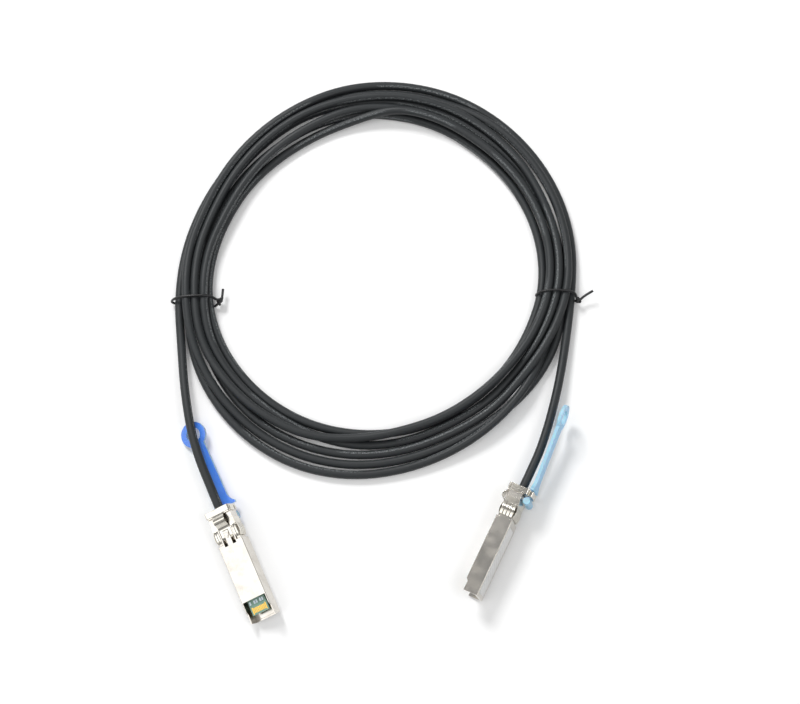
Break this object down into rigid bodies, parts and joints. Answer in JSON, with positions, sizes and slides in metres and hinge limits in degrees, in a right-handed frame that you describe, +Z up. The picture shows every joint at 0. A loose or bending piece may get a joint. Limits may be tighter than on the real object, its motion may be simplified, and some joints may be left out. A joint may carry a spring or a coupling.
{
  "type": "direct attach copper cable",
  "caption": "Coiled black twinax network cable with a pluggable metal plug and a blue pull-tab latch on each end.",
  "frame": {"origin": "on the surface the cable lies on, midway between the two plugs with their pull tabs", "axes": "+Z up from the surface, +X from the plug lying boss side up to the plug lying on its edge, +Y from the plugs towards the coil"},
  "size_m": [0.2142, 0.2854, 0.0179],
  "materials": {
    "nickel_casting": "satin nickel plate on a zinc casting",
    "spring_steel": "bright stamped spring sheet",
    "blue_plastic": "slightly clear blue moulding",
    "circuit_board": "green solder mask",
    "gold_contact": "gold plate",
    "ceramic_block": "pale ceramic with tinned ends",
    "chip_black": "moulded resin",
    "pair_foil": "wrapped foil",
    "ferrule_steel": "plain crimped sleeve",
    "rivet_steel": "plain pin",
    "label_white": "white film label",
    "cable_jacket": "satin black jacket",
    "tie_plastic": "black coated wire"
  },
  "bodies": {
    "cable": {"coil": "cable_jacket", "plug_a_base": "nickel_casting", "plug_a_board": "circuit_board", "plug_a_capacitors": "ceramic_block", "plug_a_contact_pads": "gold_contact", "plug_a_cover": "nickel_casting", "plug_a_crimp_ferrule": "ferrule_steel", "plug_a_label": "label_white", "plug_a_memory_chip": "chip_black", "plug_a_rivets": "rivet_steel", "plug_a_spring_collar": "spring_steel", "plug_a_twinax_cores": "pair_foil", "plug_b_base": "nickel_casting", "plug_b_board": "circuit_board", "plug_b_capacitors": "ceramic_block", "plug_b_contact_pads": "gold_contact", "plug_b_cover": "nickel_casting", "plug_b_crimp_ferrule": "ferrule_steel", "plug_b_label": "label_white", "plug_b_memory_chip": "chip_black", "plug_b_rivets": "rivet_steel", "plug_b_spring_collar": "spring_steel", "plug_b_twinax_cores": "pair_foil", "tail_a": "cable_jacket", "tail_b": "cable_jacket", "twist_tie_a": "tie_plastic", "twist_tie_b": "tie_plastic"},
    "latch_a": {"plug_a_latch_yoke": "spring_steel", "plug_a_pull_tab": "blue_plastic"},
    "latch_b": {"plug_b_latch_yoke": "spring_steel", "plug_b_pull_tab": "blue_plastic"}
  },
  "joints": [
    {"name": "latch_a_slide", "type": "slide", "parent": "cable", "child": "latch_a", "axis": [-0.411, 0.9104, 0.048], "range_m": [0, 0.002], "stiffness_N_per_m": 1500},
    {"name": "latch_b_slide", "type": "slide", "parent": "cable", "child": "latch_b", "axis": [0.4384, 0.8988, 0.007], "range_m": [0, 0.002], "stiffness_N_per_m": 1500}
  ]
}
